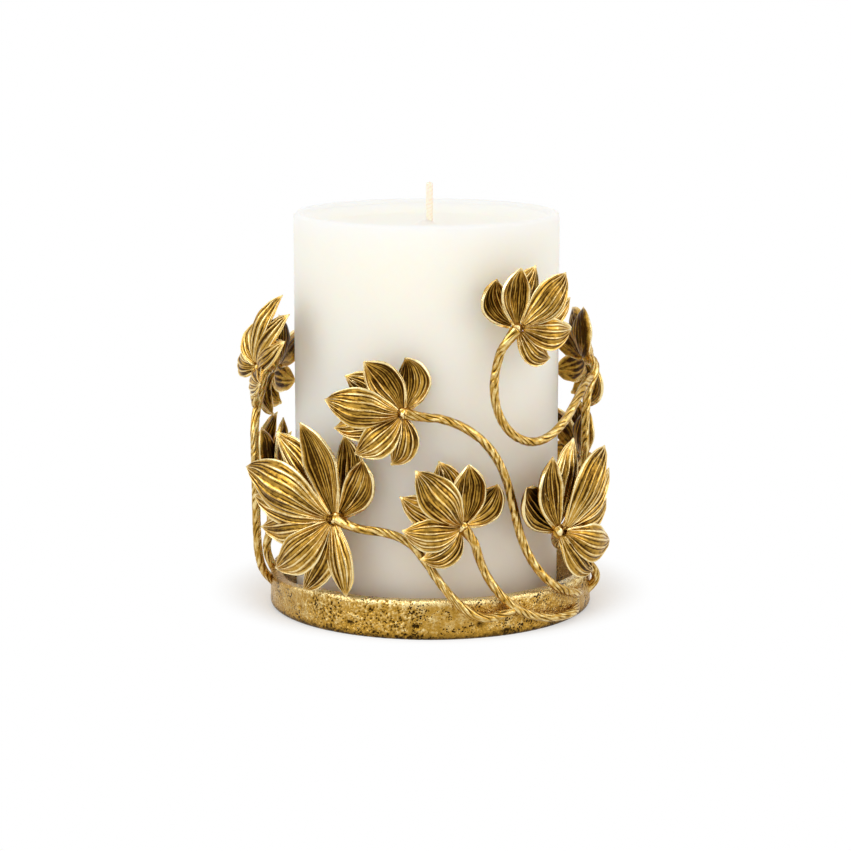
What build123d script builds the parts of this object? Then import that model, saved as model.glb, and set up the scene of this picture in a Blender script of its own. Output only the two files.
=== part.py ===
from build123d import *
from math import cos, pi, radians, sin, tan
import os

# Sizes are millimetres. The axis of the ring is Z, the table is Z = 0 and the front faces -Y.

# Pillar candle, a loose piece that stands on the table inside the ring
candle_diameter = 101.6
candle_height = 152.4
candle_off_centre = -1.5
candle_foot_round = 1.5
candle_rim_width = 3.5
candle_dish_depth = 5.0
candle_dish_slope = 7.0
candle_dish_round = 6.0
wax_collar_radius = 3.6
wax_collar_height = 1.8
wax_collar_round = 2.0
wick_diameter = 2.8
wick_slack = 0.05
wick_above_rim = 11.2
wick_end_round = 0.4

# Ring band, a low open casting
ring_gap = 6.7
ring_wall = 5.0
ring_height = 15.0
lip_bevel = 1.4
inner_bevel = 0.8
foot_round = 1.6

# Stems, round rods bent to lie around the candle
stem_diameter = 3.8
stem_stand_off = 8.6
stem_wall_gap = 0.9
stem_root_depth = 2.0
side_stem_bow = 3.0
stem_neck = 5.0
bend_share = 0.45

# Blossoms, lotus fans that stand off the candle on their hubs
hub_stand_off = 11.2
side_hub_stand_off = 17.5
small_hub_radius = 3.4
large_hub_radius = 4.2
hub_seat_inset = 0.8
open_seat = (-1, 0, 0)
hidden_seat = (-0.25, -0.7, -0.67)
petal_root_width = 2.6
petal_tip_width = 0.4
petal_thickness = 1.5
petal_rim_thickness = 0.9
petal_root_depth = 1.9
petal_rib_count = 5
petal_crown = 0.34
petal_rib_rise = 0.22
petal_swell = 1.05
petal_belly = 0.55
petal_stations = (0.0, 0.16, 0.34, 0.54, 0.74, 0.9, 0.985)

# Petals of a blossom: turn from the main petal in degrees, length, width, how far the spine bows sideways, and
# how far root, belly and tip stand in front of the hub. An inner petal shows its hollow side, so its ribs face
# the candle.
small_petals = (
    ("outer", 0, 29.0, 14.5, 0.0, 1.9, 5.2, 2.6),
    ("outer", 50, 23.0, 12.0, 1.6, 1.5, 4.4, 2.0),
    ("outer", 23, 26.5, 11.5, 1.0, 0.2, 1.8, -0.6),
    ("outer", 86, 19.5, 10.0, 3.0, 0.0, 2.0, -0.2),
    ("outer", -20, 26.0, 11.5, -0.6, -0.4, 0.6, -1.4),
    ("inner", -43, 24.0, 11.5, -1.2, -1.6, -2.4, -0.2),
    ("inner", -80, 20.5, 11.0, -2.8, -1.4, -2.6, -1.0),
)
large_petals = (
    ("outer", -3, 41.5, 19.0, -2.0, 2.4, 5.8, 4.0),
    ("outer", 60, 33.0, 14.5, 2.2, 2.0, 5.0, 3.4),
    ("outer", 13, 38.0, 13.0, 0.6, 0.8, 2.6, 0.2),
    ("outer", 32, 36.0, 13.0, 1.2, -0.2, 1.2, -1.0),
    ("outer", 85, 31.5, 11.5, 3.0, 0.4, 2.4, 2.4),
    ("outer", -24, 42.0, 14.0, -0.6, 0.2, 1.2, -1.4),
    ("inner", -48, 38.0, 13.0, -1.8, -1.4, -2.2, 0.2),
    ("inner", -74, 32.0, 11.5, -2.0, -2.2, -4.4, -2.6),
)
left_petals = (
    ("inner", -98, 27.0, 12.0, -2.0, -1.4, -2.4, -0.2),
    ("outer", 124, 29.0, 10.5, 1.0, 1.8, 3.4, 2.6),
)
right_petals = (("inner", -94, 26.5, 11.5, -0.8, -1.4, -2.4, -0.2),)

candle_radius = candle_diameter / 2
ring_inner_radius = candle_radius + ring_gap
ring_outer_radius = ring_inner_radius + ring_wall
ring_mid_radius = (ring_inner_radius + ring_outer_radius) / 2
stem_radius = stem_diameter / 2
stem_track = candle_radius + stem_stand_off
wall_track = ring_outer_radius + stem_radius + stem_wall_gap
hub_track = candle_radius + hub_stand_off
side_hub_track = candle_radius + side_hub_stand_off
bowed_track = side_hub_track + side_stem_bow


def around(azimuth, rise, track):
    """A point by its azimuth from the front, its height above the ring's lip and its distance from the axis."""
    turn = radians(azimuth)
    return Vector(track * sin(turn), -track * cos(turn), ring_height + rise)


def blossom_plane(azimuth, rise, track, main_turn, lean=0, yaw=0):
    """The hub's plane: X along the main petal, Z away from the candle, leaning in at the top by lean degrees
    and turned past its azimuth by yaw degrees."""
    turn, tilt, main = radians(azimuth + yaw), radians(lean), radians(main_turn)
    outward = Vector(sin(turn), -cos(turn), 0)
    sideways = Vector(cos(turn), sin(turn), 0)
    upward = Vector(0, 0, 1)
    facing = outward * cos(tilt) + upward * sin(tilt)
    climbing = upward * cos(tilt) - outward * sin(tilt)
    along = sideways * cos(main) + climbing * sin(main)
    return Plane(origin=around(azimuth, rise, track), x_dir=along, z_dir=facing)


def petal(length, width, bow, root, belly, tip):
    """A ribbed petal along X with its convex side up: sections swell from the root and close at the tip."""
    spine = ThreePointArc((petal_root_depth, 0, root), (length * petal_belly, bow, belly), (length, 0, tip))
    with BuildPart() as blade:
        for share in petal_stations:
            swell = width / 2 * sin(pi * share**petal_swell)
            half = swell + petal_root_width / 2 * (1 - share) + petal_tip_width / 2
            pitch = 2 * half / petal_rib_count
            crown = petal_crown * half
            edges = [-half + pitch * index for index in range(petal_rib_count + 1)]
            grooves = [(x, crown * (1 - (x / half) ** 2)) for x in edges]
            with BuildSketch(Plane(origin=spine @ share, x_dir=(0, 1, 0), z_dir=spine % share)):
                with BuildLine():
                    for start, end in zip(grooves, grooves[1:]):
                        middle = (Vector(start) + Vector(end)) / 2
                        ThreePointArc(start, middle + Vector(0, petal_rib_rise * pitch), end)
                    Line(grooves[-1], (half, -petal_rim_thickness))
                    ThreePointArc(
                        (half, -petal_rim_thickness),
                        (0, crown - petal_thickness),
                        (-half, -petal_rim_thickness),
                    )
                    Line((-half, -petal_rim_thickness), grooves[0])
                make_face()
        loft()
    return blade.part


def casting(petals, hub_radius, seat_direction, hand=1):
    """A blossom about its hub: a ball with a flat seat for the stem, fused with its fan of petals."""
    seat = Vector(*seat_direction).normalized()
    blades = []
    for side, turn, length, width, bow, root, belly, tip in petals:
        if side == "outer":
            blade = petal(length, width, hand * bow, root, belly, tip)
        else:
            blade = petal(length, width, -hand * bow, -root, -belly, -tip).rotate(Axis.X, 180)
        blades.append(blade.rotate(Axis.Z, hand * turn))
    with BuildPart() as blossom:
        Sphere(hub_radius)
        split(bisect_by=Plane(seat * (hub_radius - hub_seat_inset), z_dir=seat), keep=Keep.BOTTOM)
        add(blades)
    return blossom.part


def bend_radii(points):
    """The largest arc that each corner of a stem's route has room for."""
    radii = []
    for before, corner, after in zip(points, points[1:], points[2:]):
        run = min((corner - before).length, (after - corner).length)
        turn = radians((corner - before).get_angle(after - corner))
        radii.append(bend_share * run / tan(turn / 2))
    return radii


def stem(plane, hub_radius, seat_direction, route, brazed_to):
    """A rod from the seat on a blossom's hub through its route, ended by the piece that it is brazed to."""
    leaving = plane.from_local_coords(Vector(*seat_direction).normalized()) - plane.origin
    seat = hub_radius - hub_seat_inset
    points = [plane.origin + leaving * reach for reach in (seat, seat + stem_neck)]
    points += [around(*stop) for stop in route]
    with BuildPart() as rod:
        with BuildLine() as path:
            FilletPolyline(*points, radius=bend_radii(points))
        with BuildSketch(Plane(origin=path.line @ 0, z_dir=path.line % 0)):
            Circle(stem_radius)
        sweep()
        add(brazed_to, mode=Mode.SUBTRACT)
    return rod.part


def save(piece, name):
    """Label a finished piece and write it as its own file."""
    piece.label = name
    export_step(piece, f"parts/{name}.step")


os.makedirs("parts", exist_ok=True)

# Ring band: a bevelled lip outside and in, and a rounded foot
with BuildPart() as ring_band:
    with BuildSketch(Plane.XZ):
        with Locations((ring_mid_radius, 0)):
            Rectangle(ring_wall, ring_height, align=(Align.CENTER, Align.MIN))
    revolve(axis=Axis.Z)
    lip = ring_band.faces().sort_by(Axis.Z)[-1].edges().sort_by(SortBy.RADIUS)
    foot = ring_band.faces().sort_by(Axis.Z)[0].edges().sort_by(SortBy.RADIUS)
    chamfer(lip[-1], lip_bevel)
    chamfer(lip[0], inner_bevel)
    fillet(foot[-1], foot_round)
save(ring_band.part, "ring_band")

# Candle wax: a dished top with a narrow round rim, and a wax collar that runs up the wick
candle_plane = Plane((candle_off_centre, 0, 0), x_dir=(1, 0, 0), z_dir=(0, -1, 0))
candle_axis = Axis((candle_off_centre, 0, 0), (0, 0, 1))
bore_radius = wick_diameter / 2 + wick_slack
rim_radius = candle_rim_width / 2
rim_foot = candle_height - rim_radius
dish_edge = candle_radius - candle_rim_width
dish_floor = candle_height - candle_dish_depth
with BuildPart() as candle_wax:
    with BuildSketch(candle_plane):
        with BuildLine():
            outside = FilletPolyline(
                (bore_radius, 0), (candle_radius, 0), (candle_radius, rim_foot), radius=candle_foot_round
            )
            ThreePointArc(outside @ 1, (candle_radius - rim_radius, candle_height), (dish_edge, rim_foot))
            dish = FilletPolyline(
                (dish_edge, rim_foot),
                (dish_edge - candle_dish_slope, dish_floor),
                (wax_collar_radius, dish_floor),
                (bore_radius, dish_floor + wax_collar_height),
                radius=(candle_dish_round, wax_collar_round),
            )
            Line(dish @ 1, outside @ 0)
        make_face()
    revolve(axis=candle_axis)
save(candle_wax.part, "candle_wax")

# Wick: a waxed cord through the whole candle
with BuildPart(Plane((candle_off_centre, 0, 0))) as candle_wick:
    Cylinder(
        wick_diameter / 2,
        candle_height + wick_above_rim,
        align=(Align.CENTER, Align.CENTER, Align.MIN),
    )
    fillet(candle_wick.edges().sort_by(Axis.Z)[-1], wick_end_round)
save(candle_wick.part, "candle_wick")

# Blossom castings: a small one, its mirror image, and two large ones
small_right = casting(small_petals, small_hub_radius, open_seat)
small_left = casting(small_petals, small_hub_radius, open_seat, hand=-1)
large_left = casting(large_petals + left_petals, large_hub_radius, open_seat)
large_right = casting(large_petals + right_petals, large_hub_radius, hidden_seat, hand=-1)

# Where each blossom stands, as azimuth, rise, distance from the axis, turn of its main petal, lean and yaw
planes = {
    "left_front": blossom_plane(-34.5, 28.5, hub_track, 160),
    "upper_middle": blossom_plane(-9, 70, hub_track, 170),
    "lower_middle": blossom_plane(11, 27.5, hub_track, 129),
    "upper_right": blossom_plane(30.5, 100, hub_track, 46),
    "right_front": blossom_plane(51, 21, hub_track, 50),
    "left_side": blossom_plane(-72, 79, side_hub_track, 70, 24),
    "left_rear_high": blossom_plane(-97, 76, hub_track, 178, 0, -12),
    "left_rear_low": blossom_plane(-96, 30, hub_track, 118, 0, -12),
    "right_rear_high": blossom_plane(97, 79, hub_track, 6, 0, 22),
    "right_rear_low": blossom_plane(100, 40, hub_track, 20, 0, 22),
}
castings = {
    "left_front": large_left,
    "upper_middle": small_right,
    "lower_middle": small_right,
    "upper_right": small_left,
    "right_front": large_right,
    "left_side": small_right,
    "left_rear_high": small_right,
    "left_rear_low": small_right,
    "right_rear_high": small_left,
    "right_rear_low": small_left,
}
for place, plane in planes.items():
    with BuildPart(plane) as blossom:
        add(castings[place], clean=False)
    save(blossom.part, f"blossom_{place}")

# Stops of each stem from its blossom to its brazed end, as azimuth, rise and distance from the axis
routes = {
    "upper_middle": (
        (3.5, 68, stem_track),
        (13, 64, stem_track),
        (21.5, 56.5, stem_track),
        (27.5, 46, stem_track),
        (31, 33, stem_track),
        (34.5, 20, stem_track),
        (38.5, 10, hub_track),
        (44, 2.5, wall_track),
        (52, -2, wall_track),
        (61, -4.8, wall_track),
        (71, -6, ring_mid_radius),
    ),
    "lower_middle": (
        (15.8, 18, hub_track),
        (19.5, 8, hub_track),
        (24.5, 0, wall_track),
        (31, -5.8, wall_track),
        (40, -9.5, wall_track),
        (50, -11, wall_track),
        (59, -10.8, wall_track),
        (66, -10.5, ring_mid_radius),
    ),
    "right_front": (
        (62, 11, stem_track),
        (70, 6.5, hub_track),
        (77, 0.5, wall_track),
        (80.5, -5.5, wall_track),
        (79, -10, ring_mid_radius),
    ),
    "left_rear_high": (
        (-85, 69, wall_track),
        (-77.5, 58, bowed_track),
        (-75, 40, bowed_track),
        (-75, 22, bowed_track),
        (-76.5, 7, side_hub_track),
        (-80, -2.5, wall_track),
        (-84, -7.5, ring_mid_radius),
    ),
    "left_rear_low": (
        (-90.5, 14, hub_track),
        (-91, 3, wall_track),
        (-93, -6, ring_mid_radius),
    ),
    "right_rear_high": (
        (86, 68, ring_mid_radius),
        (83, 48, ring_mid_radius),
        (83.5, 22, ring_mid_radius),
        (84.5, -stem_root_depth, ring_mid_radius),
    ),
    "right_rear_low": (
        (92, 26, ring_mid_radius),
        (91, 12, ring_mid_radius),
        (91.5, -stem_root_depth, ring_mid_radius),
    ),
    "left_front": (
        (-16, 25, stem_track),
        (-7, 21.5, stem_track),
        (-1.5, 14, stem_track),
        (3, 7, hub_track),
        (8, 0.5, wall_track),
        (13, -4.5, wall_track),
        (20, -7.5, wall_track),
        (28.6, -4.2, wall_track),
    ),
    "upper_right": (
        (25, 91, stem_track),
        (22.5, 80, stem_track),
        (24, 69, stem_track),
        (30, 60, stem_track),
        (39, 56, stem_track),
        (48, 57, stem_track),
        (58, 61.5, stem_track),
        (68, 67.5, stem_track),
        (79, 72.5, ring_mid_radius),
        (89, 74, hub_track),
    ),
    "left_side": (
        (-81.2, 63.5, side_hub_track),
    ),
}
# Three stems spring from another stem, and the rest from the band
carriers = {
    "left_front": "lower_middle",
    "upper_right": "right_rear_high",
    "left_side": "left_rear_high",
}
large_places = ("left_front", "right_front")
stems = {}
for place, route in routes.items():
    hub_radius = large_hub_radius if place in large_places else small_hub_radius
    seat_direction = hidden_seat if place == "right_front" else open_seat
    carrier = stems[carriers[place]] if place in carriers else ring_band.part
    stems[place] = stem(planes[place], hub_radius, seat_direction, route, carrier)
    save(stems[place], f"stem_{place}")
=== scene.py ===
from math import ceil, cos, exp, pi, radians, sin, sqrt

import bpy
from mathutils import Matrix, Vector, noise


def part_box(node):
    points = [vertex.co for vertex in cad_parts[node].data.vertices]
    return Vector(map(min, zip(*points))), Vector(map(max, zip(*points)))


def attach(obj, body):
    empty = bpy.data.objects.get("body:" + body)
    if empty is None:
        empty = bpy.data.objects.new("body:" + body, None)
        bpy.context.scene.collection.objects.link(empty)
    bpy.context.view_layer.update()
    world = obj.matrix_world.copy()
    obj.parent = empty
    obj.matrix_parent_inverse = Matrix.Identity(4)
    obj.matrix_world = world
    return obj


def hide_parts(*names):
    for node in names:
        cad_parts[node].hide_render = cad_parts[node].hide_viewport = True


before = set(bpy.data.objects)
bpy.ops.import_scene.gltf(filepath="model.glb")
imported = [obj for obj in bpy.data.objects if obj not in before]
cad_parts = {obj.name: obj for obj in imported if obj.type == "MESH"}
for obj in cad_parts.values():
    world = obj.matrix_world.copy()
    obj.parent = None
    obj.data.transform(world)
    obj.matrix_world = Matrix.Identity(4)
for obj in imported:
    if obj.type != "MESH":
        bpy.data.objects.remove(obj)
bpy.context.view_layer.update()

# The frame is in metres. The object's sizes are written in millimetres and turned to metres where they are
# used. Floor, lights and camera come last.
mm = 0.001
seam_gap = 0.01
ring_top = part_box("ring_band")[1] / mm
wax_foot, wax_top = (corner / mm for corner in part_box("candle_wax"))
wick_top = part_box("candle_wick")[1].z / mm
ring_outer_radius = ring_top.x
ring_height = ring_top.z
candle_radius = (wax_top.x - wax_foot.x) / 2
candle_off_centre = (wax_top.x + wax_foot.x) / 2
candle_height = wax_top.z

# Ring band: a sand casting with a worn lip that carries a painted highlight, pits all over and a few larger
# flaws
ring_wall = 5.0
lip_round = 1.3
foot_round = 1.6
inner_foot_round = 0.3
corner_steps = 6
ring_cells_around = 900
ring_cell_height = 0.42
wall_fade = 1.5
wall_start = (0.6, 2.5)
lip_share = 0.8
lip_waviness = 0.45
lip_waves = 2.6
lip_wave_seed = 5.0
lip_sag = 2.4
lip_sag_azimuth = -78
lip_sag_width = 26
wall_waviness = 0.35
wall_wave_size = 9.0
wall_ripple_size = 3.2
wall_ripple_share = 0.5
grit_size = 0.9
grit_height = 0.07
clean_wall_grit = 0.4
pit_spacing = 1.25
pit_depth = 0.42
pit_radius = 0.4
pit_floor_share = 0.35
lip_pit_share = 0.5
# Pits outside the patches are smaller and shallower
lone_pit_size = 0.55
lone_pit_depth = 0.25
patch_pit_growth = 0.9
pit_patch_size = 17.0
pit_patch_shift = Vector((3.1, 0, 0))
pit_patch_limits = (-0.28, 0.4)
# How far the ring is rubbed, from 0 where dark toning is left to 1 for bare gold; the highest values also
# take a painted highlight
ring_rub = 0.56
grit_rub = 0.25
ripple_rub = 0.14
# The lip is rubbed lighter, which also paints a highlight along it
lip_wear_and_highlight = 0.4
lip_sag_toning = 1.6
pit_toning = 0.7
flaw_toning = 0.7
# Painted shade: the wall's tone is darkened towards its foot, up to this height in millimetres
foot_painted_shade = 0.5
foot_painted_shade_height = 4.0
# Flaws of the casting: azimuth, height, half width, half height, depth
ring_flaws = (
    (-29, 4.6, 1.5, 0.9, 0.9),
    (-21, 10.8, 1.3, 0.7, 0.5),
    (-5, 5.0, 1.6, 0.8, 0.8),
    (12, 4.4, 1.1, 0.6, 0.6),
    (17, 5.2, 1.4, 0.8, 0.9),
    (27, 1.8, 1.8, 0.9, 0.8),
    (38, 4.2, 2.4, 0.5, 0.6),
    (-52, 7.0, 1.0, 0.8, 0.5),
    (62, 3.6, 1.3, 0.6, 0.5),
    (118, 6.4, 1.6, 0.9, 0.8),
    (151, 9.2, 1.3, 0.8, 0.6),
    (178, 4.1, 1.9, 0.7, 0.8),
    (-158, 7.6, 1.4, 1.0, 0.7),
    (-121, 5.2, 1.7, 0.8, 0.8),
)

# Stems: rods with hand-cut flutes that twist to the left
stem_radius = 1.9
stem_flutes = 6
stem_lead = 27.0
flute_depth = 0.6
stem_cell = 0.42
stem_cells_around = 56
stem_neck = 5.0
hub_seat_inset = 0.8
neck_flare = 0.5
flare_length = 3.0
rod_end_share = 0.6
# How uneven the hand work on a rod is: how much, over what length, and how far it differs round the rod
rod_slimness = 0.87
rod_unevenness = 0.06
rod_wave_length = 7.0
rod_wave_spread = 2.0
rod_wave_seed = 3.0
flute_sharpness = 2.2
flute_drift = 0.9
drift_length = 8.0
drift_spread = 0.5
usual_cut = 0.5
least_cut = 0.1
cut_unevenness = 1.1
cut_length = 5.0
cut_spread = 1.2
# A rod's tone; on the stems the highest values take the painted highlight
rod_rub = 0.68
# Darker in the flutes: toning on the stems, painted shade between the strands of the wick
flute_darkening = 1.15
rub_unevenness = 0.3
rub_length = 3.0
rub_spread = 2.0

# Candle: a poured pillar, and a braided wick that stands a little off its centre and is hidden from its root
# to the collar of wax
candle_cells_around = 192
candle_foot_round = 1.5
candle_foot_bevel = 0.45
candle_wall_heights = (30, 60, 90, 120, candle_height - 6)
candle_rim = 3.5
rim_steps = 8
candle_dish = 5.0
dish_slope = 9.0
dish_steps = 12
dish_radii = (30.0, 20.0, 12.0, 7.0)
# Wax drawn up at the wick: radius, height above the dish
wick_collar = ((4.6, 0.15), (3.2, 0.6), (2.2, 1.3), (1.3, 1.8))
wick_off_centre = candle_off_centre + 1.1
wick_radius = 1.55
wick_strands = 4
wick_lead = 6.0
strand_depth = 0.1
wick_root_depth = 6.0
wick_cell = 0.3
wick_cells_around = 32
wick_seed = 3

# Hubs of the blossoms: a lumpy knob
small_hub_radius = 3.4
large_hub_radius = 4.2
knob_cells_along = 24
knob_cells_around = 36
knob_size = 0.66
knob_height = 0.75
knob_sink = 0.12
knob_lumps = 0.2
knob_lump_waves = 1.7
# The knob's base tone is set high: partly rubbed gold, partly painted light that lifts the shade in the gap
# among the petal roots
knob_rub_and_painted_light = 0.55
knob_lump_rub = 0.6

# Petals: an outer one shows its ribbed back, an inner one its hollow side
petal_root_depth = 1.9
petal_root_width = 2.6
petal_tip_width = 0.1
petal_swell = 1.05
petal_belly = 0.55
petal_crown = {"outer": 0.42, "inner": -0.22}
petal_thickness = 1.15
petal_tip_share = 0.3
petal_thinning_start = 0.3
petal_cells_along = 24
petal_cells_across = 42
petal_tip_crowding = 1.25
petal_last_share = 0.999
edge_unevenness = 0.05
tip_flick = 0.7
tip_flick_start = 0.75
# Chasing: veins with a groove at each side, fine lines between them, a raised rim and hammer marks. It fades
# out where half the petal's width comes down from the second of these limits to the first.
chasing_fade = (0.8, 3.5)
broad_petal_width = 14.0
broad_veins = 5
narrow_veins = 4
inner_veins = 5
vein_height = {"outer": 0.9, "inner": 0.4}
vein_share = 0.17
vein_wander = 0.12
vein_strength = 0.8
vein_unevenness = 0.55
groove_depth = 0.2
groove_place = 1.4
groove_sharpness = 7
groove_strength = 0.9
fine_line_height = 0.14
fine_line_wander = 0.1
finest_line_share = 0.7
rim_height = 0.75
rim_share = 0.1
rim_start = 1.9
rim_end = 0.5
hammer_height = 0.14
# How far a petal is rubbed, from 0 where dark toning is left to 1 for bare gold; the highest values, on vein
# crests, rims and tips, also take a painted highlight
petal_rub = {"outer": 0.38, "inner": 0.26}
vein_rub = {"outer": 0.9, "inner": 0.55}
tip_rub_start = 0.9
raised_rub = 0.62
fine_line_rub = 0.4
broad_rub = 0.3
groove_toning = 0.75
# Patterns of unevenness on a petal: waves along it, waves across it, and how far one petal differs from
# the next
vein_wander_waves = (3.1, 0.6, 7.3)
vein_strength_waves = (3.0, 5.0, 1.0)
fine_line_waves = (2.5, 8.0, 4.1)
finest_line_waves = (4.0, 15.0, 2.3)
edge_waves = (5.0, 4.0, 3.7)
hammer_waves = (9.0, 5.0, 1.9)
broad_rub_waves = (1.7, 0.9, 5.3)

# Petals of each casting: side that shows, turn from the main petal, length, width, how far the spine bows
# sideways, and how far root, belly and tip stand out
small_petals = (
    ("outer", 0, 29.0, 14.5, 0.0, 1.9, 5.2, 2.6),
    ("outer", 50, 23.0, 12.0, 1.6, 1.5, 4.4, 2.0),
    ("outer", 23, 26.5, 11.5, 1.0, 0.2, 1.8, -0.6),
    ("outer", 86, 19.5, 10.0, 3.0, 0.0, 2.0, -0.2),
    ("outer", -20, 26.0, 11.5, -0.6, -2.0, -3.6, -3.8),
    ("inner", -43, 24.0, 11.5, -1.2, 0.2, 0.8, 1.6),
    ("inner", -80, 20.5, 11.0, -2.8, -2.2, -4.4, -2.4),
)
# The upper right blossom's last petal stands closer to the others
upper_petals = small_petals[:-1] + (("inner", -66, 21.5, 11.0, -2.8, -2.2, -4.4, -2.4),)
side_petals = (
    ("outer", 0, 30.0, 13.5, 0.0, 1.9, 4.8, 1.4),
    ("outer", 50, 21.0, 11.0, 1.6, 1.5, 3.8, 1.0),
    ("outer", 23, 26.5, 11.5, 1.0, 0.4, 2.0, -0.8),
    ("outer", 86, 19.0, 10.0, 3.0, 0.0, 2.0, 0.4),
    ("outer", -20, 28.0, 12.0, -0.6, 1.0, 2.8, -0.6),
    ("outer", -43, 24.5, 11.5, -1.2, 0.4, 1.4, -0.4),
    ("outer", -90, 19.0, 11.0, -1.6, 0.4, 2.0, 3.0),
)
left_petals = (
    ("outer", -3, 41.5, 19.0, -2.0, 2.4, 5.8, 4.0),
    ("outer", 60, 33.0, 14.5, 2.2, 2.0, 5.0, 3.4),
    ("outer", 13, 38.0, 13.0, 0.6, 0.8, 2.6, 0.2),
    ("outer", 32, 36.0, 13.0, 1.2, -0.2, 1.2, -1.0),
    ("outer", 85, 31.5, 11.5, 3.0, 0.4, 2.4, 2.4),
    ("outer", -24, 42.0, 14.0, -0.6, -2.2, -3.8, -4.2),
    ("inner", -48, 38.0, 13.0, -1.8, 0.6, 1.4, 2.2),
    ("inner", -74, 32.0, 11.5, -2.0, -2.2, -4.4, -2.6),
    ("inner", -98, 27.0, 12.0, -2.0, -1.4, -2.4, -0.2),
    ("outer", 124, 29.0, 10.5, 1.0, 1.8, 3.4, 2.6),
)
right_petals = (
    ("outer", -3, 37.5, 17.0, -2.0, 2.4, 5.8, 4.0),
    ("outer", 65, 28.0, 14.0, 2.2, 2.0, 5.0, 3.4),
    ("outer", 18, 36.5, 12.5, 0.6, 0.8, 2.6, 0.2),
    ("outer", 37, 32.0, 12.5, 1.2, -0.2, 1.2, -1.0),
    ("outer", 95, 25.5, 12.0, 2.4, 0.4, 2.4, 2.4),
    ("outer", -19, 36.0, 14.5, -0.6, -1.6, -2.8, -3.6),
    ("inner", -54, 31.0, 13.5, -1.8, 0.2, 0.6, 1.8),
    ("inner", -72, 23.0, 10.0, -2.0, -2.6, -5.0, -4.0),
    ("inner", -87, 30.0, 13.0, -0.8, -1.0, -1.6, 0.4),
)

# Distances from the axis on which stems and hubs lie
ring_mid_radius = ring_outer_radius - ring_wall / 2
stem_track = candle_radius + 8.6
wall_track = ring_outer_radius + stem_radius + 0.9
hub_track = candle_radius + 11.2
side_hub_track = candle_radius + 17.5
bowed_track = side_hub_track + 0.8
stem_root_depth = 2.0

# Each blossom: azimuth, rise above the ring's lip, distance from the axis, turn of its main petal, lean, yaw
hubs = {
    "left_front": (-34.5, 28.5, hub_track, 160, 0, 0),
    "upper_middle": (-9, 70, hub_track, 170, 0, 0),
    "lower_middle": (11, 27.5, hub_track, 129, 0, 0),
    "upper_right": (30.5, 100, hub_track, 46, 0, 0),
    "right_front": (51, 21, hub_track, 50, 0, 0),
    "left_side": (-72, 80, side_hub_track, 77, 19, 2),
    "left_rear_high": (-97, 76, hub_track, 178, 0, -12),
    "left_rear_low": (-96, 30, hub_track, 118, 0, -12),
    "right_rear_high": (97, 79, hub_track, 6, 0, 22),
    "right_rear_low": (100, 40, hub_track, 20, 0, 22),
}
# One casting came out a little smaller than its pattern
casting_sizes = {"upper_right": 0.94}
open_seat = Vector((-1, 0, 0))
hidden_seat = Vector((-0.25, -0.7, -0.67)).normalized()
# Stops of each stem after its hub: azimuth, rise, distance from the axis
routes = {
    "upper_middle": (
        (3.5, 68, stem_track),
        (13, 64, stem_track),
        (21.5, 56.5, stem_track),
        (27.5, 46, stem_track),
        (31, 33, stem_track),
        (34.5, 20, stem_track),
        (38.5, 10, hub_track),
        (44, 2.5, wall_track),
        (52, -2, wall_track),
        (61, -4.8, wall_track),
        (71, -6, ring_mid_radius),
    ),
    "lower_middle": (
        (15.8, 18, hub_track),
        (19.5, 8, hub_track),
        (24.5, 0, wall_track),
        (31, -5.8, wall_track),
        (40, -9.5, wall_track),
        (50, -11, wall_track),
        (59, -10.8, wall_track),
        (66, -10.5, ring_mid_radius),
    ),
    "right_front": (
        (62, 11, stem_track),
        (70, 6.5, hub_track),
        (77, 0.5, wall_track),
        (80.5, -5.5, wall_track),
        (79, -10, ring_mid_radius),
    ),
    "left_rear_high": (
        (-85, 69, wall_track),
        (-77.5, 58, bowed_track),
        (-75, 40, bowed_track),
        (-75, 22, bowed_track),
        (-76.5, 7, side_hub_track),
        (-80, -2.5, wall_track),
        (-84, -7.5, ring_mid_radius),
    ),
    "left_rear_low": (
        (-90.5, 14, hub_track),
        (-91, 3, wall_track),
        (-93, -6, ring_mid_radius),
    ),
    "right_rear_high": (
        (86, 68, ring_mid_radius),
        (83, 48, ring_mid_radius),
        (83.5, 22, ring_mid_radius),
        (84.5, -stem_root_depth, ring_mid_radius),
    ),
    "right_rear_low": (
        (92, 26, ring_mid_radius),
        (91, 12, ring_mid_radius),
        (91.5, -stem_root_depth, ring_mid_radius),
    ),
    "left_front": (
        (-16, 25, stem_track),
        (-7, 21.5, stem_track),
        (-1.5, 14, stem_track),
        (3, 7, hub_track),
        (8, 0.5, wall_track),
        (13, -4.5, wall_track),
        (20, -7.5, wall_track),
        (28.6, -4.2, wall_track),
    ),
    "upper_right": (
        (25, 91, stem_track),
        (22.5, 80, stem_track),
        (24, 69, stem_track),
        (30, 60, stem_track),
        (39, 56, stem_track),
        (48, 57, stem_track),
        (58, 61.5, stem_track),
        (68, 67.5, stem_track),
        (79, 72.5, ring_mid_radius),
        (89, 74, hub_track),
    ),
    "left_side": (
        (-81.2, 63.5, side_hub_track - 0.8),
    ),
}


def linear(colour):
    """An sRGB hex colour as linear red, green, blue and alpha."""
    shares = [int(colour[start : start + 2], 16) / 255 for start in (1, 3, 5)]
    return [c / 12.92 if c <= 0.04045 else ((c + 0.055) / 1.055) ** 2.4 for c in shares] + [1.0]


def add_node(tree, kind, inputs, **settings):
    """A node with its settings; each input is a plain value or the socket that feeds it."""
    made = tree.nodes.new(kind)
    for name, value in settings.items():
        setattr(made, name, value)
    for socket, value in inputs.items():
        if isinstance(value, bpy.types.NodeSocket):
            tree.links.new(value, made.inputs[socket])
        else:
            made.inputs[socket].default_value = value
    return made


def new_material(name):
    """An empty node material, its tree and its Principled shader."""
    material = bpy.data.materials.new(name)
    material.use_nodes = True
    return material, material.node_tree, material.node_tree.nodes["Principled BSDF"]


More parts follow.
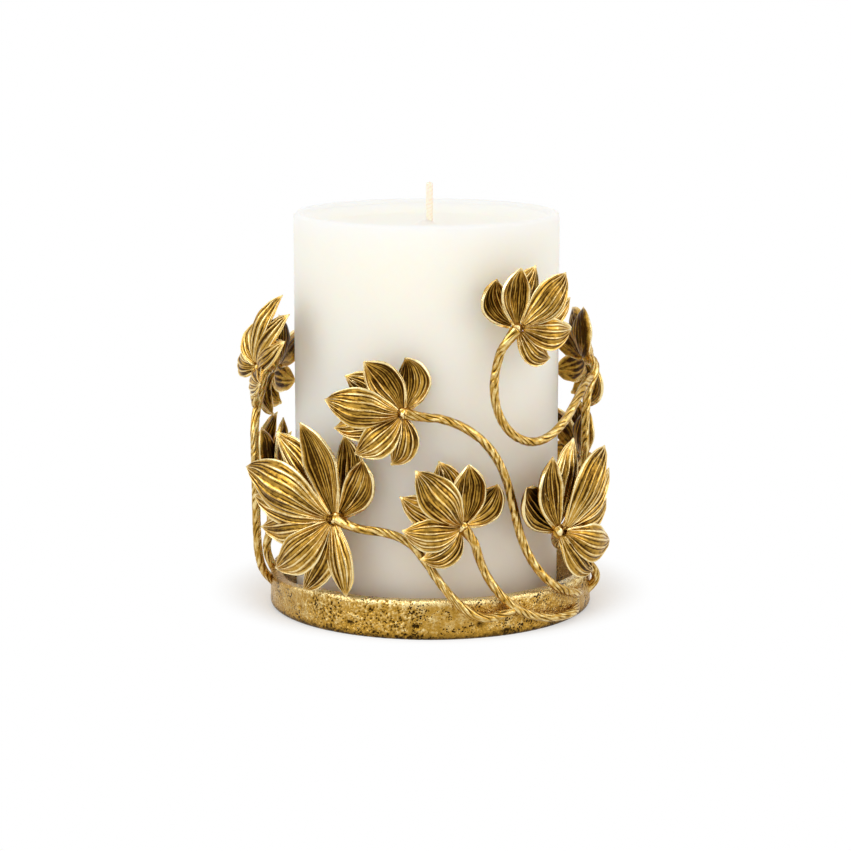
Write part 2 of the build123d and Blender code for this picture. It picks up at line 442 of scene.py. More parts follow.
def smooth_step(value, low, high):
    """0 below low, 1 above high and an even S between them."""
    share = min(1.0, max(0.0, (value - low) / (high - low)))
    return share * share * (3 - 2 * share)


def start_grid(name, cells_along, cells_across):
    """A flat grid from -1 to 1 each way, alone in the selection, to be shaped into a piece."""
    bpy.ops.object.select_all(action="DESELECT")
    bpy.ops.mesh.primitive_grid_add(x_subdivisions=cells_along, y_subdivisions=cells_across, size=2)
    piece = bpy.context.object
    piece.name = name
    return piece


def shape_grid(piece, place):
    """Move each point of a grid where place(along, across) says, with along and across from 0 to 1, and keep
    the tone that comes with it: 0 in a groove that holds dark toning, 1 on a rubbed ridge that takes a
    painted highlight, with painted shade and painted light added on some pieces."""
    tone_and_painted_light = piece.data.attributes.new("tone_and_painted_light", "FLOAT", "POINT")
    for vertex in piece.data.vertices:
        point, height = place((vertex.co.x + 1) / 2, (vertex.co.y + 1) / 2)
        vertex.co = point * mm
        tone_and_painted_light.data[vertex.index].value = height


def close_seams(piece):
    """Merge the edges of a wrapped grid, close what is still open and turn the faces outwards."""
    bpy.ops.object.mode_set(mode="EDIT")
    bpy.ops.mesh.select_all(action="SELECT")
    bpy.ops.mesh.remove_doubles(threshold=seam_gap * mm)
    bpy.ops.mesh.fill_holes(sides=0)
    bpy.ops.mesh.select_all(action="SELECT")
    bpy.ops.mesh.normals_make_consistent(inside=False)
    bpy.ops.object.mode_set(mode="OBJECT")
    bpy.ops.object.shade_smooth()


def apply_modifier(piece, kind, **settings):
    """Add a modifier and apply it."""
    modifier = piece.modifiers.new(kind.title(), kind)
    for name, value in settings.items():
        setattr(modifier, name, value)
    bpy.ops.object.modifier_apply(modifier=modifier.name)


def finish_piece(piece, material, body, node):
    """Give a piece its finish, and let it ride on its body in place of its CAD node."""
    piece.data.materials.clear()
    piece.data.materials.append(material)
    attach(piece, body)
    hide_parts(node)


def around(azimuth, rise, track):
    """A point by its azimuth from the front, its height above the ring's lip and its distance from the
    axis."""
    turn = radians(azimuth)
    return Vector((track * sin(turn), -track * cos(turn), ring_height + rise))


def hub_frame(azimuth, rise, track, main_turn, lean, yaw):
    """The hub's place: X along the main petal, Z away from the candle, leaning in at the top by lean degrees
    and turned past its azimuth by yaw degrees."""
    turn, tilt, main = radians(azimuth + yaw), radians(lean), radians(main_turn)
    outward = Vector((sin(turn), -cos(turn), 0))
    sideways = Vector((cos(turn), sin(turn), 0))
    upward = Vector((0, 0, 1))
    facing = outward * cos(tilt) + upward * sin(tilt)
    climbing = upward * cos(tilt) - outward * sin(tilt)
    along = sideways * cos(main) + climbing * sin(main)
    axes = Matrix((along, facing.cross(along), facing)).transposed()
    return Matrix.LocRotScale(around(azimuth, rise, track) * mm, axes.to_quaternion(), None)


# Petals and blossoms


def uneven(share, across, waves, seed):
    """Smooth unevenness at a place of a petal, between -1 and 1."""
    waves_along, waves_across, spread = waves
    return noise.noise((share * waves_along, across * waves_across, seed * spread))


def petal(row, hand, seed):
    """A petal about its hub: bowed along its spine, crowned across it, with chased veins and a raised rim."""
    side, turn, length, width, bow, root, belly, tip = row
    veins = broad_veins if width > broad_petal_width else narrow_veins
    if side == "inner":
        veins = inner_veins
    pitch = 2 / (veins + 1)
    start = Vector((petal_root_depth, 0, root))
    end = Vector((length, 0, tip))
    control = 2 * Vector((length * petal_belly, hand * bow, belly)) - (start + end) / 2
    turned = Matrix.Rotation(radians(hand * turn), 3, "Z")

    def place(along, sideways):
        share = 1 - (1 - along) ** petal_tip_crowding
        across = 2 * sideways - 1
        wander = uneven(share, across, vein_wander_waves, seed)
        half = width / 2 * sin(pi * min(share, petal_last_share) ** petal_swell)
        half += petal_root_width / 2 * (1 - share) + petal_tip_width / 2
        half *= 1 + edge_unevenness * uneven(share, round(sideways), edge_waves, seed)
        first, second = start.lerp(control, share), control.lerp(end, share)
        tangent = (second - first).normalized()
        aside = Vector((0, 0, 1)).cross(tangent).normalized()
        normal = tangent.cross(aside)
        fade = smooth_step(half, *chasing_fade)
        vein_place = (across + vein_wander * wander + 1) / pitch
        nearest = min(max(round(vein_place), 1), veins)
        from_vein = abs(vein_place - nearest) / vein_share
        strength = vein_strength + vein_unevenness * uneven(share, nearest, vein_strength_waves, seed)
        vein = strength * exp(-from_vein * from_vein)
        groove = exp(-groove_sharpness * (from_vein - groove_place) ** 2) * (groove_strength + wander)
        drawn = across + fine_line_wander * wander
        fine = uneven(share, drawn, fine_line_waves, seed)
        fine += finest_line_share * uneven(share, drawn, finest_line_waves, seed)
        rim = smooth_step(abs(across), 1 - rim_start * rim_share, 1 - rim_end * rim_share)
        lift = (vein_height[side] * vein + rim_height * rim) * fade
        lift += (fine_line_height * fine - groove_depth * groove) * fade
        lift += hammer_height * uneven(share, across, hammer_waves, seed)
        lift += tip_flick * smooth_step(share, tip_flick_start, 1.0)
        crown = petal_crown[side] * half * (1 - across * across)
        point = first.lerp(second, share) + aside * half * across + normal * (crown + lift)
        # Vein crests, the rim and the tip are rubbed bare and take the painted highlight
        raised = max(vein * vein_rub[side], rim, smooth_step(share, tip_rub_start, 1.0))
        tone_and_painted_light = petal_rub[side] + raised_rub * raised + fine_line_rub * fine * (1 - raised)
        tone_and_painted_light += broad_rub * uneven(share, across, broad_rub_waves, seed)
        tone_and_painted_light -= groove_toning * groove * (1 - rim) * fade
        return turned @ point, tone_and_painted_light

    blade = start_grid("petal", petal_cells_along, petal_cells_across)
    body = blade.vertex_groups.new(name="body")
    for vertex in blade.data.vertices:
        body.add([vertex.index], 1 - smooth_step(vertex.co.x, petal_thinning_start, 1.0), "REPLACE")
    shape_grid(blade, place)
    apply_modifier(
        blade,
        "SOLIDIFY",
        thickness=petal_thickness * mm,
        offset=-1,
        vertex_group=body.name,
        thickness_vertex_group=petal_tip_share,
    )
    apply_modifier(blade, "SUBSURF", levels=1, render_levels=1)
    return blade


def hub_knob(radius):
    """The lumpy knob that the petals grow from."""

    def place(along, around_share):
        polar, turn = pi * along, 2 * pi * around_share
        outward = Vector((sin(polar) * cos(turn), sin(polar) * sin(turn), cos(polar)))
        lump = noise.noise(outward * knob_lump_waves + Vector((radius, 0, 0)))
        flat = Vector((outward.x, outward.y, knob_height * outward.z - knob_sink))
        # Tone: rubbed lumps, and painted light lifting the knob out of the shade among the petal roots
        return flat * radius * (knob_size + knob_lumps * lump), knob_rub_and_painted_light + knob_lump_rub * lump

    knob = start_grid("hub", knob_cells_along, knob_cells_around)
    shape_grid(knob, place)
    close_seams(knob)
    return knob


def blossom_casting(name, petals, hub_radius, hand=1):
    """A whole blossom about its hub, as one casting."""
    blades = [petal(row, hand, seed + 1) for seed, row in enumerate(petals)]
    knob = hub_knob(hub_radius)
    bpy.ops.object.select_all(action="DESELECT")
    for piece in blades + [knob]:
        piece.select_set(True)
    bpy.context.view_layer.objects.active = knob
    bpy.ops.object.join()
    bpy.ops.object.shade_smooth()
    knob.name = name
    return knob


# Stems


def smooth_route(stops):
    """Even points along the smooth curve that has these stops as its control points."""
    line = bpy.data.curves.new("route", "CURVE")
    line.dimensions = "3D"
    line.resolution_u = 16
    spline = line.splines.new("NURBS")
    spline.points.add(len(stops) - 1)
    for point, stop in zip(spline.points, stops):
        point.co = (*stop, 1)
    spline.order_u = 3
    spline.use_endpoint_u = True
    holder = bpy.data.objects.new("route", line)
    bpy.context.scene.collection.objects.link(holder)
    traced = [vertex.co.copy() for vertex in bpy.data.meshes.new_from_object(holder).vertices]
    bpy.data.objects.remove(holder)
    return even_points(traced, stem_cell)


def even_points(traced, step):
    """The same line with its points an even step apart."""
    reach = [0.0]
    for before, after in zip(traced, traced[1:]):
        reach.append(reach[-1] + (after - before).length)
    count = ceil(reach[-1] / step)
    points = []
    index = 0
    for number in range(count + 1):
        target = reach[-1] * number / count
        while index < len(reach) - 2 and reach[index + 1] < target:
            index += 1
        share = (target - reach[index]) / max(reach[index + 1] - reach[index], 1e-9)
        points.append(traced[index].lerp(traced[index + 1], share))
    return points


def carried_frames(points):
    """At each point of a line two directions across it, carried along without any twist of their own."""
    tangents = [(after - before).normalized() for before, after in zip(points, points[1:])]
    tangents.append(tangents[-1])
    side = tangents[0].orthogonal().normalized()
    frames = []
    for tangent in tangents:
        side = (side - tangent * side.dot(tangent)).normalized()
        frames.append((side, tangent.cross(side)))
    return frames


def fluted_rod(name, points, radius, flutes, lead, depth, cells_around, flare, seed):
    """A rod along a line with rounded flutes that wind round it to the left, cut unevenly by hand."""
    frames = carried_frames(points)
    last = len(points) - 1
    step = (points[1] - points[0]).length

    def place(along, around_share):
        index = round(along * last)
        side, other = frames[index]
        reach = index * step
        turn = 2 * pi * around_share
        drift = noise.noise((reach / drift_length, cos(turn) * drift_spread + seed, sin(turn) * drift_spread))
        phase = flutes / 2 * (turn - 2 * pi * reach / lead + flute_drift * drift)
        groove = (1 - abs(cos(phase))) ** flute_sharpness
        stroke = noise.noise((reach / cut_length, cos(turn) * cut_spread + seed, sin(turn) * cut_spread))
        cut = min(1.0, max(least_cut, usual_cut + cut_unevenness * stroke))
        wave = noise.noise((reach / rod_wave_length, seed * rod_wave_spread, rod_wave_seed))
        swell = rod_slimness + flare * exp(-reach / flare_length) + rod_unevenness * wave
        to_end = min(1.0, min(reach, last * step - reach) / (rod_end_share * radius))
        size = (radius * swell - depth * cut * groove) * sqrt(1 - (1 - to_end) ** 2)
        outward = side * cos(turn) + other * sin(turn)
        worn = noise.noise((reach / rub_length, cos(turn) * rub_spread, sin(turn) * rub_spread + seed))
        # Darker in the flutes: toning on the stems, painted shade between the strands of the wick
        tone_and_painted_light = rod_rub + rub_unevenness * worn - flute_darkening * cut * groove
        return points[index] + outward * size, tone_and_painted_light

    rod = start_grid(name, last, cells_around)
    shape_grid(rod, place)
    close_seams(rod)
    return rod


def stem_line(place):
    """The centre line of a stem, from its seat on the hub through its stops."""
    hub = hub_frame(*hubs[place])
    large = place in ("left_front", "right_front")
    seat = hidden_seat if place == "right_front" else open_seat
    leaving = hub.to_3x3() @ seat
    reach = (large_hub_radius if large else small_hub_radius) - hub_seat_inset
    centre = hub.translation / mm
    stops = [centre, centre + leaving * (reach + stem_neck)]
    return smooth_route(stops + [around(*stop) for stop in routes[place]])


# Ring band and candle


def ring_profile():
    """The band's section as radius and height, from the inner foot round the outside and over the lip."""
    inner, outer = ring_outer_radius - ring_wall, ring_outer_radius
    corners = (
        (inner, 0.0, inner_foot_round),
        (outer, 0.0, foot_round),
        (outer, ring_height, lip_round),
        (inner, ring_height, lip_round),
    )
    middle = Vector((ring_mid_radius, ring_height / 2))
    outline = []
    for radius, height, rounding in corners:
        right = 1 if radius > middle.x else -1
        up = 1 if height > middle.y else -1
        centre = Vector((radius - right * rounding, height - up * rounding))
        first = {(-1, -1): pi, (1, -1): 1.5 * pi, (1, 1): 0.0, (-1, 1): 0.5 * pi}[right, up]
        for step in range(corner_steps + 1):
            turn = first + pi / 2 * step / corner_steps
            outline.append(centre + Vector((cos(turn), sin(turn))) * rounding)
    outline.append(outline[0])
    return even_points([Vector((r, z, 0)) for r, z in outline], ring_cell_height)


def ring_band():
    """The cast band: a wavy lip, an uneven wall, patches of pits and a few deep flaws."""
    profile = ring_profile()
    last = len(profile) - 1
    centre = Vector((ring_mid_radius, ring_height / 2, 0))

    def place(around_share, along):
        turn = 2 * pi * around_share
        azimuth = around_share * 360 - 180
        spot = profile[round(along * last)]
        outward = Vector((sin(radians(azimuth)), -cos(radians(azimuth)), 0))
        base = outward * spot.x + Vector((0, 0, spot.y))
        up_share = spot.y / ring_height
        on_wall = smooth_step(spot.x - ring_mid_radius, 0.0, wall_fade) * smooth_step(spot.y, *wall_start)
        on_lip = smooth_step(up_share, lip_share, 1.0)
        wave = lip_waviness * noise.noise((cos(turn) * lip_waves, sin(turn) * lip_waves, lip_wave_seed))
        sag = exp(-(((azimuth - lip_sag_azimuth) / lip_sag_width) ** 2))
        drop = (wave - lip_sag * sag) * up_share
        ripple = noise.noise(base / wall_ripple_size)
        swell = noise.noise(base / wall_wave_size) + wall_ripple_share * ripple
        patch = smooth_step(noise.noise(base / pit_patch_size + pit_patch_shift), *pit_patch_limits)
        grit = noise.noise(base / grit_size) * (clean_wall_grit + patch)
        nearest = noise.voronoi(base / pit_spacing)[0][0] * pit_spacing
        size = pit_radius * (lone_pit_size + patch_pit_growth * patch)
        pit = 1 - smooth_step(nearest, pit_floor_share * size, size)
        pit *= lone_pit_depth + (1 - lone_pit_depth) * patch
        flaw = 0.0
        for at, height, wide, high, depth in ring_flaws:
            aside = radians(azimuth - at) * ring_outer_radius / wide
            above = (spot.y - height) / high
            flaw += depth * exp(-(aside * aside + above * above))
        sunk = (pit_depth * pit + flaw - wall_waviness * swell) * on_wall
        sunk += lip_pit_share * pit_depth * pit * on_lip - grit_height * grit
        level = spot + (centre - spot).normalized() * sunk
        tone_and_painted_light = ring_rub + grit_rub * grit + ripple_rub * ripple
        # The lip: rubbed lighter and carrying a painted highlight
        tone_and_painted_light += lip_wear_and_highlight * (1 - lip_sag_toning * sag) * on_lip
        tone_and_painted_light -= pit_toning * pit + flaw_toning * min(1.0, flaw) * on_wall
        # Painted shade darkening the foot of the band
        tone_and_painted_light -= foot_painted_shade * (1 - smooth_step(spot.y, 0.0, foot_painted_shade_height))
        return outward * level.x + Vector((0, 0, max(0.0, level.y + drop))), tone_and_painted_light

    band = start_grid("pitted_ring", ring_cells_around, last)
    shape_grid(band, place)
    close_seams(band)
    return band


def pillar_wax():
    """A poured pillar: a soft foot and rim, a shallow dish and a collar of wax drawn up at the wick."""
    half_rim = candle_rim / 2
    dish_floor = candle_height - candle_dish
    profile = [
        (candle_radius - candle_foot_round, 0.0),
        (candle_radius - candle_foot_bevel, candle_foot_bevel),
        (candle_radius, candle_foot_round),
    ]
    profile += [(candle_radius, height) for height in candle_wall_heights]
    for step in range(rim_steps + 1):
        turn = pi * step / rim_steps
        inset = half_rim * (1 - cos(turn))
        profile.append((candle_radius - inset, candle_height - half_rim + half_rim * sin(turn)))
    for step in range(1, dish_steps + 1):
        share = step / dish_steps
        fall = (candle_dish - half_rim) * smooth_step(share, 0.0, 1.0)
        profile.append((candle_radius - candle_rim - dish_slope * share, candle_height - half_rim - fall))
    profile += [(radius, dish_floor) for radius in dish_radii]
    profile += [(radius, dish_floor + lift) for radius, lift in wick_collar]
    bpy.ops.object.select_all(action="DESELECT")
    radius, height = profile[0]
    bpy.ops.mesh.primitive_circle_add(
        vertices=candle_cells_around,
        radius=radius * mm,
        fill_type="NGON",
        location=(candle_off_centre * mm, 0, 0),
    )
    wax = bpy.context.object
    wax.name = "pillar_wax"
    bpy.ops.object.transform_apply(location=True)
    bpy.ops.object.mode_set(mode="EDIT")
    bpy.ops.mesh.select_all(action="SELECT")
    for next_radius, next_height in profile[1:]:
        rise = (0, 0, (next_height - height) * mm)
        bpy.ops.mesh.extrude_region_move(TRANSFORM_OT_translate={"value": rise})
        scale = next_radius / radius
        centre = (candle_off_centre * mm, 0, next_height * mm)
        bpy.ops.transform.resize(value=(scale, scale, 1), center_override=centre)
        radius, height = next_radius, next_height
    bpy.ops.mesh.select_all(action="SELECT")
    bpy.ops.mesh.normals_make_consistent(inside=False)
    bpy.ops.object.mode_set(mode="OBJECT")
    bpy.ops.object.shade_smooth()
    return wax


# Materials

mottle_swing = 0.8
pits_across_patch = 7
pit_dent = 0.8
wax_bloom_size = 6.0
# Painted shade and painted warm light bounced from the brass reach up the wax to this height
painted_shade_top = 0.6 * candle_height


def antique_brass(name, toning, gilt, painted_highlight, mottle_size, grain_size, grain_depth, pit_size=None):
    """Cast brass, gilded, toned dark and rubbed back: gold on ridges and rims, brown left in the grooves, and
    a pale painted highlight where the tone is highest. A rough casting also has patches of dark pits with
    light-catching edges. The casting's own grain is too fine to show, so it is drawn half a millimetre wide
    or more."""
    material, tree, shader = new_material(name)
    place = add_node(tree, "ShaderNodeTexCoord", {}).outputs["Object"]
    tone_and_painted_light = add_node(tree, "ShaderNodeAttribute", {}, attribute_name="tone_and_painted_light").outputs["Fac"]
    mottle = add_node(
        tree,
        "ShaderNodeTexNoise",
        {"Vector": place, "Scale": 1 / (mottle_size * mm), "Detail": 5.0, "Roughness": 0.6},
    )
    blotch = add_node(
        tree,
        "ShaderNodeMath",
        {0: mottle.outputs["Fac"], 1: mottle_swing, 2: -mottle_swing / 2},
        operation="MULTIPLY_ADD",
    )
    rubbed = add_node(tree, "ShaderNodeMath", {0: tone_and_painted_light, 1: blotch.outputs[0]}, operation="ADD")
    worn = add_node(
        tree,
        "ShaderNodeMapRange",
        {"Value": rubbed.outputs[0], "From Min": -0.1, "From Max": 0.55},
        interpolation_type="SMOOTHSTEP",
    )
    # Painted highlight: the highest tone runs up to the pale highlight colour
    painted_highlight_share = add_node(
        tree,
        "ShaderNodeMapRange",
        {"Value": rubbed.outputs[0], "From Min": 0.45, "From Max": 1.0},
        interpolation_type="SMOOTHSTEP",
    )
    warm = add_node(
        tree,
        "ShaderNodeMix",
        {0: worn.outputs["Result"], 6: linear(toning), 7: linear(gilt)},
        data_type="RGBA",
    )
    colour = add_node(
        tree,
        "ShaderNodeMix",
        {0: painted_highlight_share.outputs["Result"], 6: warm.outputs[2], 7: linear(painted_highlight)},
        data_type="RGBA",
    )
    polish = add_node(
        tree,
        "ShaderNodeMapRange",
        {"Value": rubbed.outputs[0], "From Min": 0.0, "From Max": 1.0, "To Min": 0.4, "To Max": 0.17},
    )
    grain = add_node(
        tree, "ShaderNodeTexNoise", {"Vector": place, "Scale": 1 / (grain_size * mm), "Detail": 3.0}
    )
    surface = grain.outputs["Fac"]
    if pit_size:
        cells = add_node(
            tree, "ShaderNodeTexVoronoi", {"Vector": place, "Scale": 1 / (pit_size * mm), "Randomness": 1.0}
        )
        patches = add_node(
            tree,
            "ShaderNodeTexNoise",
            {"Vector": place, "Scale": 1 / (pits_across_patch * pit_size * mm), "Detail": 4.0},
        )
        reach = add_node(
            tree,
            "ShaderNodeMapRange",
            {
                "Value": patches.outputs["Fac"],
                "From Min": 0.4,
                "From Max": 0.66,
                "To Min": 0.02,
                "To Max": 0.56,
            },
        )
        sunk = add_node(
            tree,
            "ShaderNodeMath",
            {0: reach.outputs["Result"], 1: cells.outputs["Distance"]},
            operation="SUBTRACT",
        )
        pit = add_node(
            tree,
            "ShaderNodeMapRange",
            {"Value": sunk.outputs[0], "From Min": -0.02, "From Max": 0.16},
            interpolation_type="SMOOTHSTEP",
        )
        colour = add_node(
            tree,
            "ShaderNodeMix",
            {0: pit.outputs["Result"], 6: colour.outputs[2], 7: linear(toning)},
            data_type="RGBA",
        )
        surface = add_node(
            tree,
            "ShaderNodeMath",
            {0: pit.outputs["Result"], 1: -pit_dent, 2: surface},
            operation="MULTIPLY_ADD",
        ).outputs[0]
    bump = add_node(
        tree, "ShaderNodeBump", {"Height": surface, "Strength": 0.6, "Distance": grain_depth * mm}
    )
    shader.inputs["Metallic"].default_value = 1.0
    tree.links.new(colour.outputs[2], shader.inputs["Base Color"])
    tree.links.new(polish.outputs["Result"], shader.inputs["Roughness"])
    tree.links.new(bump.outputs["Normal"], shader.inputs["Normal"])
    return material


def paraffin_wax():
    """Poured paraffin and stearin: white, dense and milky, so light sinks in and glows through the rim.
    Towards
    the foot it is painted darker and warmer: painted shade and painted warm light bounced from the brass.
    """
    material, tree, shader = new_material("poured_paraffin_wax")
    place = add_node(tree, "ShaderNodeTexCoord", {}).outputs["Object"]
    height = add_node(tree, "ShaderNodeSeparateXYZ", {"Vector": place})
    above_painted_shade = add_node(
        tree,
        "ShaderNodeMapRange",
        {"Value": height.outputs["Z"], "From Min": 0.0, "From Max": painted_shade_top * mm},
        interpolation_type="SMOOTHSTEP",
    )
    # Painted shade and painted warm bounce from the brass: darker and warmer at the foot, white higher up
    colour = add_node(
        tree,
        "ShaderNodeMix",
        {0: above_painted_shade.outputs["Result"], 6: linear("#feeadb"), 7: linear("#fdf3e9")},
        data_type="RGBA",
    )
    bloom = add_node(
        tree, "ShaderNodeTexNoise", {"Vector": place, "Scale": 1 / (wax_bloom_size * mm), "Detail": 3.0}
    )
    gloss = add_node(
        tree, "ShaderNodeMapRange", {"Value": bloom.outputs["Fac"], "To Min": 0.38, "To Max": 0.52}
    )
    bump = add_node(
        tree, "ShaderNodeBump", {"Height": bloom.outputs["Fac"], "Strength": 0.12, "Distance": 0.15 * mm}
    )
    tree.links.new(colour.outputs[2], shader.inputs["Base Color"])
    tree.links.new(gloss.outputs["Result"], shader.inputs["Roughness"])
    tree.links.new(bump.outputs["Normal"], shader.inputs["Normal"])
    shader.inputs["IOR"].default_value = 1.44
    shader.inputs["Subsurface Weight"].default_value = 1.0
    shader.inputs["Subsurface Radius"].default_value = (1.0, 0.8, 0.6)
    shader.inputs["Subsurface Scale"].default_value = 30 * mm
    return material


def waxed_cotton():
    """Braided cotton soaked in wax: cream and faintly shiny, with painted shade that darkens it between the
    strands.
    """
    material, tree, shader = new_material("waxed_cotton_braid")
    tone_and_painted_light = add_node(tree, "ShaderNodeAttribute", {}, attribute_name="tone_and_painted_light").outputs["Fac"]
    colour = add_node(
        tree, "ShaderNodeMix", {0: tone_and_painted_light, 6: linear("#f5e8cd"), 7: linear("#fff8ea")}, data_type="RGBA"
    )
    tree.links.new(colour.outputs[2], shader.inputs["Base Color"])
    shader.inputs["Roughness"].default_value = 0.55
    shader.inputs["Subsurface Weight"].default_value = 0.3
    shader.inputs["Subsurface Scale"].default_value = 1 * mm
    return material


# Build the pieces

# The pale third colour of each brass is a painted highlight
gilt_brass = antique_brass(
    "antique_gilt_brass",
    toning="#432b0b",
    gilt="#c79a3f",
    painted_highlight="#fce8ae",
    mottle_size=1.6,
    grain_size=0.5,
    grain_depth=0.14,
)
stem_brass = antique_brass(
    "fluted_stem_brass",
    toning="#3d270a",
    gilt="#bb8f38",
    painted_highlight="#f9e2a0",
    mottle_size=2.0,
    grain_size=0.5,
    grain_depth=0.12,
)
cast_brass = antique_brass(
    "pitted_cast_brass",
    toning="#37250a",
    gilt="#bd9139",
    painted_highlight="#fce6a6",
    mottle_size=1.0,
    grain_size=0.7,
    grain_depth=0.8,
    pit_size=0.9,
)

castings = {
    "small_right": blossom_casting("small_right", small_petals, small_hub_radius),
    "small_left": blossom_casting("small_left", small_petals, small_hub_radius, hand=-1),
    "small_upper": blossom_casting("small_upper", upper_petals, small_hub_radius, hand=-1),
    "small_side": blossom_casting("small_side", side_petals, small_hub_radius),
    "large_left": blossom_casting("large_left", left_petals, large_hub_radius),
    "large_right": blossom_casting("large_right", right_petals, large_hub_radius, hand=-1),
}
casting_of = {
    "left_front": "large_left",
    "right_front": "large_right",
    "left_side": "small_side",
    "upper_right": "small_upper",
    "right_rear_high": "small_left",
    "right_rear_low": "small_left",
}
for number, place in enumerate(hubs):
    pattern = castings[casting_of.get(place, "small_right")]
    lotus = bpy.data.objects.new(f"lotus_{place}", pattern.data.copy())
    bpy.context.scene.collection.objects.link(lotus)
    size = casting_sizes.get(place, 1.0)
    lotus.data.transform(hub_frame(*hubs[place]) @ Matrix.Scale(size, 4))
    finish_piece(lotus, gilt_brass, "ring", f"blossom_{place}")
    stem = fluted_rod(
        f"twisted_stem_{place}",
        stem_line(place),
        stem_radius,
        stem_flutes,
        stem_lead,
        flute_depth,
        stem_cells_around,
        neck_flare,
        number + 1,
    )
    finish_piece(stem, stem_brass, "ring", f"stem_{place}")
for pattern in castings.values():
    bpy.data.objects.remove(pattern)

finish_piece(ring_band(), cast_brass, "ring", "ring_band")
finish_piece(pillar_wax(), paraffin_wax(), "candle", "candle_wax")
wick_root = Vector((wick_off_centre, 0, candle_height - wick_root_depth))
wick_tip = Vector((wick_off_centre, 0, wick_top))
wick = fluted_rod(
    "braided_wick",
    even_points([wick_root, wick_tip], wick_cell),
    wick_radius,
    wick_strands,
    wick_lead,
    strand_depth,
    wick_cells_around,
    0.0,
    wick_seed,
)
finish_piece(wick, waxed_cotton(), "candle", "candle_wick")

# Floor, light and camera, in metres

floor_size = 12
# The paper is plain white but for the shadow round the object: its middle, where it starts to fade and where
# it ends, and the share of plain white that is mixed in at its deepest
shadow_middle = (0, 0.02, 0)
shadow_start = 0.066
shadow_end = 0.09
shadow_whiteness = 0.3
floor_in_metal = 0.7
# Soft lights: name, place, width, power and colour
softboxes = (
    ("key_left", (-0.9, -0.7, 0.8), 0.7, 1.15, "#ffffff"),
    ("front", (-0.55, -1.45, 0.36), 1.6, 4.5, "#ffffff"),
    ("fill_right", (0.95, -0.6, 0.55), 0.7, 1.3, "#ffebd4"),
    ("top", (0.0, 0.2, 1.1), 0.9, 0.45, "#ffffff"),
)
light_aim = (0, 0, 0.08)
# The surround: its light on matt surfaces, and what metal sees of it, dim in front, white behind and
# overhead, with two glowing panels, each by its direction and strength
surround_light = 0.87
front_in_metal = 0.3
panels_in_metal = (((-0.62, -0.42, 0.66), 2.3), ((0.8, -0.4, 0.45), 1.35))
camera_place = (-0.0019, -0.986, 0.2554)
camera_pitch = 10.7
camera_lens = 109.5
camera_sensor = 36


def studio_paper():
    """White studio paper: the camera and the metal see it nearly pure white, and it still takes a soft
    shadow."""
    material, tree, shader = new_material("studio_paper")
    shader.inputs["Base Color"].default_value = linear("#f4f3f1")
    shader.inputs["Roughness"].default_value = 0.9
    shader.inputs["Specular IOR Level"].default_value = 0.0
    path = add_node(tree, "ShaderNodeLightPath", {})
    seen = add_node(
        tree,
        "ShaderNodeMath",
        {0: path.outputs["Is Glossy Ray"], 1: floor_in_metal, 2: path.outputs["Is Camera Ray"]},
        operation="MULTIPLY_ADD",
    )
    white = add_node(tree, "ShaderNodeEmission", {"Color": linear("#ffffff"), "Strength": 1.0})
    place = add_node(tree, "ShaderNodeTexCoord", {}).outputs["Object"]
    away = add_node(tree, "ShaderNodeVectorMath", {0: place, 1: shadow_middle}, operation="DISTANCE")
    fading = add_node(
        tree,
        "ShaderNodeMapRange",
        {
            "Value": away.outputs["Value"],
            "From Min": shadow_start,
            "From Max": shadow_end,
            "To Min": shadow_whiteness,
            "To Max": 1.0,
        },
        interpolation_type="SMOOTHSTEP",
    )
    share = add_node(
        tree, "ShaderNodeMath", {0: seen.outputs[0], 1: fading.outputs["Result"]}, operation="MULTIPLY"
    )
    mixed = add_node(
        tree, "ShaderNodeMixShader", {0: share.outputs[0], 1: shader.outputs[0], 2: white.outputs[0]}
    )
    tree.links.new(mixed.outputs[0], tree.nodes["Material Output"].inputs["Surface"])
    return material


bpy.ops.object.select_all(action="DESELECT")
bpy.ops.mesh.primitive_plane_add(size=floor_size)
floor = bpy.context.object
floor.name = "studio_floor"
floor.data.materials.append(studio_paper())

for name, place, width, power, colour in softboxes:
    lamp = bpy.data.lights.new(name, "AREA")
    lamp.shape = "SQUARE"
    lamp.size = width
    lamp.energy = power
    lamp.color = linear(colour)[:3]
    holder = bpy.data.objects.new(name, lamp)
    holder.location = place
    holder.rotation_euler = (Vector(light_aim) - Vector(place)).to_track_quat("-Z", "Y").to_euler()
    bpy.context.scene.collection.objects.link(holder)

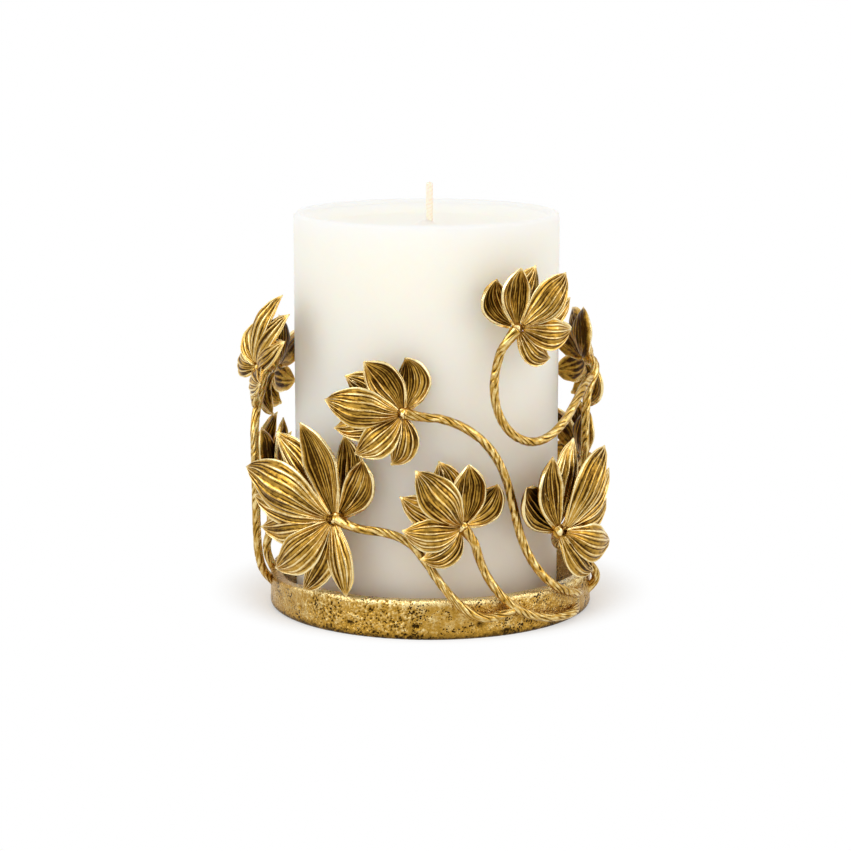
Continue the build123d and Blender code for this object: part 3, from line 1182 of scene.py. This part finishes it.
world = bpy.data.worlds.new("studio_surround")
bpy.context.scene.world = world
world.use_nodes = True
surround = world.node_tree
path = add_node(surround, "ShaderNodeLightPath", {})
generated = add_node(surround, "ShaderNodeTexCoord", {}).outputs["Generated"]
direction = add_node(surround, "ShaderNodeSeparateXYZ", {"Vector": generated})
rear = add_node(
    surround,
    "ShaderNodeMapRange",
    {
        "Value": direction.outputs["Y"],
        "From Min": -0.8,
        "From Max": 0.3,
        "To Min": front_in_metal,
        "To Max": 1.0,
    },
    interpolation_type="SMOOTHSTEP",
)
overhead = add_node(
    surround,
    "ShaderNodeMapRange",
    {"Value": direction.outputs["Z"], "From Min": 0.45, "From Max": 0.95},
    interpolation_type="SMOOTHSTEP",
)
studio = add_node(
    surround,
    "ShaderNodeMath",
    {0: rear.outputs["Result"], 1: overhead.outputs["Result"]},
    operation="MAXIMUM",
)
for facing, strength in panels_in_metal:
    toward = add_node(surround, "ShaderNodeVectorMath", {0: generated, 1: facing}, operation="DOT_PRODUCT")
    panel = add_node(
        surround,
        "ShaderNodeMapRange",
        {"Value": toward.outputs["Value"], "From Min": 0.8, "From Max": 0.95, "To Max": strength},
        interpolation_type="SMOOTHSTEP",
    )
    studio = add_node(
        surround, "ShaderNodeMath", {0: studio.outputs[0], 1: panel.outputs["Result"]}, operation="ADD"
    )
unseen = add_node(
    surround,
    "ShaderNodeMix",
    {0: path.outputs["Is Glossy Ray"], 2: surround_light, 3: studio.outputs[0]},
    data_type="FLOAT",
)
seen = add_node(
    surround,
    "ShaderNodeMath",
    {0: path.outputs["Is Camera Ray"], 1: path.outputs["Is Transmission Ray"]},
    operation="MAXIMUM",
)
level = add_node(
    surround, "ShaderNodeMix", {0: seen.outputs[0], 2: unseen.outputs[0], 3: 1.0}, data_type="FLOAT"
)
backdrop = surround.nodes["Background"]
backdrop.inputs["Color"].default_value = linear("#ffffff")
surround.links.new(level.outputs[0], backdrop.inputs["Strength"])

camera_data = bpy.data.cameras.new("camera")
camera_data.sensor_width = camera_sensor
camera_data.lens = camera_lens
camera = bpy.data.objects.new("camera", camera_data)
camera.location = camera_place
camera.rotation_euler = (radians(90 - camera_pitch), 0, 0)
bpy.context.scene.collection.objects.link(camera)
bpy.context.scene.camera = camera
bpy.context.scene.view_settings.view_transform = "Standard"
